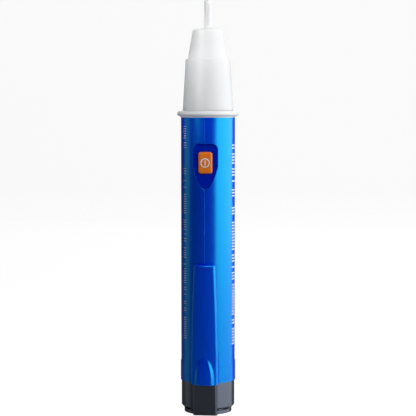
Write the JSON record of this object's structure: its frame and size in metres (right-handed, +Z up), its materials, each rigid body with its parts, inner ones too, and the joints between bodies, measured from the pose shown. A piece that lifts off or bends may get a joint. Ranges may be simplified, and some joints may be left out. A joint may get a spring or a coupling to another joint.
{
  "type": "non contact voltage tester",
  "caption": "Pen-shaped non contact voltage tester with a stepped probe nose, push button, pocket clip and pull-off battery cap.",
  "frame": {"origin": "middle of the flat foot of the end cap", "axes": "+Z up the pen from the foot to the probe tip, -Y out of the front where the button and the clip are, +X to the right seen from the front"},
  "size_m": [0.0238, 0.0268, 0.1599],
  "materials": {
    "barrel_plastic": "gloss moulded, blue",
    "clip_plastic": "gloss moulded, blue",
    "bezel_plastic": "satin moulded, dark blue",
    "button_plastic": "gloss moulded, orange",
    "nose_plastic": "translucent white, light satin",
    "collar_plastic": "white, light satin",
    "cap_plastic": "black, fine texture",
    "seal_rubber": "black",
    "board_laminate": "green solder mask",
    "black_part": "black moulded",
    "capacitor_ceramic": "tan, fired",
    "led_lens": "clear red lens",
    "tinned_metal": "tinned",
    "contact_steel": "nickel plated",
    "brass": "plain",
    "cell_core": "plated can",
    "cell_label": "shrink sleeve",
    "cell_washer": "nylon"
  },
  "bodies": {
    "case": {"shell_left": "barrel_plastic", "shell_right": "barrel_plastic", "button_bezel": "bezel_plastic", "clip_root": "clip_plastic", "nose_collar": "collar_plastic", "sensor_nose": "nose_plastic", "nose_seal": "seal_rubber", "circuit_board": "board_laminate", "tact_switch_base": "black_part", "sensing_chip": "black_part", "chip_leads": "tinned_metal", "resistors": "black_part", "capacitors": "capacitor_ceramic", "transistors": "black_part", "indicator_led": "led_lens", "led_leads": "tinned_metal", "buzzer_case": "black_part", "buzzer_disc": "brass", "antenna": "brass", "battery_plus_contact": "contact_steel", "return_contact_strip": "contact_steel", "battery_partition": "bezel_plastic"},
    "button": {"power_button": "button_plastic"},
    "plunger": {"switch_plunger": "black_part"},
    "clip": {"clip_blade": "clip_plastic"},
    "cap": {"end_cap": "cap_plastic", "cap_seal": "seal_rubber", "cap_contact_plate": "contact_steel", "cap_spring": "contact_steel"},
    "lower_cell": {"lower_cell_can": "cell_core", "lower_cell_sleeve": "cell_label", "lower_cell_seal": "cell_washer", "lower_cell_nub": "contact_steel"},
    "upper_cell": {"upper_cell_can": "cell_core", "upper_cell_sleeve": "cell_label", "upper_cell_seal": "cell_washer", "upper_cell_nub": "contact_steel"}
  },
  "joints": [
    {"name": "button_press", "type": "slide", "parent": "case", "child": "button", "axis": [0, 1, 0], "range_m": [0, 0.0004], "stiffness_N_per_m": 5000},
    {"name": "plunger_press", "type": "slide", "parent": "case", "child": "plunger", "axis": [0, 1, 0], "range_m": [0, 0.0004]},
    {"name": "clip_flex", "type": "hinge", "parent": "case", "child": "clip", "pos_m": [0, -0.013, 0.024], "axis": [1, 0, 0], "range_deg": [0, 4], "stiffness_Nm_per_rad": 1},
    {"name": "cap_pull", "type": "slide", "parent": "case", "child": "cap", "axis": [0, 0, -1], "range_m": [0, 0.11]},
    {"name": "lower_cell_slide", "type": "slide", "parent": "case", "child": "lower_cell", "axis": [0, 0, -1], "range_m": [0, 0.1]},
    {"name": "upper_cell_slide", "type": "slide", "parent": "case", "child": "upper_cell", "axis": [0, 0, -1], "range_m": [0, 0.09]}
  ],
  "couplings": [
    {"joint": "plunger_press", "follows": "button_press", "ratio": 1},
    {"joint": "lower_cell_slide", "follows": "cap_pull", "ratio": 0.9},
    {"joint": "upper_cell_slide", "follows": "cap_pull", "ratio": 0.8}
  ]
}
